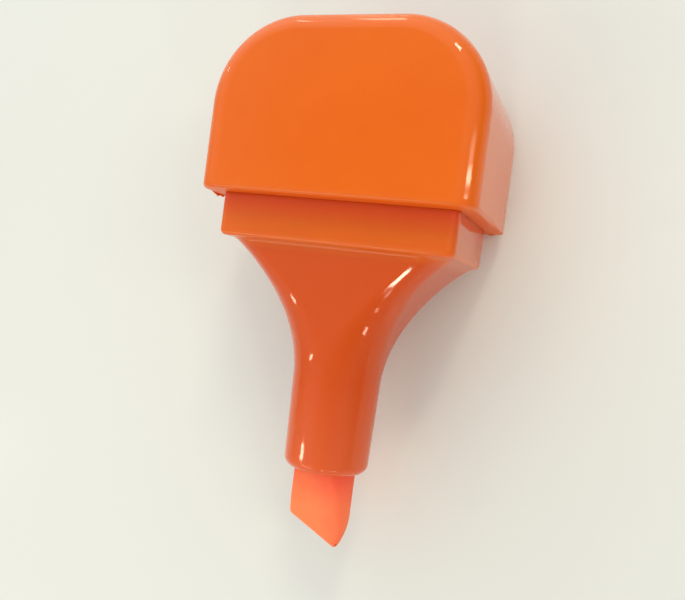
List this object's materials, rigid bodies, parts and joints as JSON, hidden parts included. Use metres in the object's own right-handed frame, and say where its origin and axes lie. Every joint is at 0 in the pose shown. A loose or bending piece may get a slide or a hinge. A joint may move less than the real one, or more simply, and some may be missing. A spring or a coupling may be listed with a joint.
{
  "type": "mini highlighter",
  "caption": "Flat-bodied mini highlighter without its cap: rounded head shell, plug-in collar with flared neck and nib tube, slanted chisel nib, and a film-wrapped ink core inside.",
  "frame": {"origin": "middle of the footprint, on the plane that the flat back of the head rests on", "axes": "+Z out of the front face, +Y along the pen from the nib to the rounded closed end, +X to the right as the nib points towards the viewer's bottom"},
  "size_m": [0.026, 0.0486, 0.0178],
  "materials": {
    "head_plastic": "glossy moulded polypropylene, opaque orange",
    "front_plastic": "glossy moulded polypropylene, slightly translucent orange",
    "nib_fibre": "porous bonded polyester fibre, wet with orange ink",
    "core_fibre": "bundled polyester fibre soaked with orange ink",
    "film_plastic": "thin milky film sleeve"
  },
  "bodies": {
    "root": {"head_shell": "head_plastic", "front_section": "front_plastic", "chisel_nib": "nib_fibre", "ink_core": "core_fibre", "core_film": "film_plastic"}
  },
  "joints": []
}
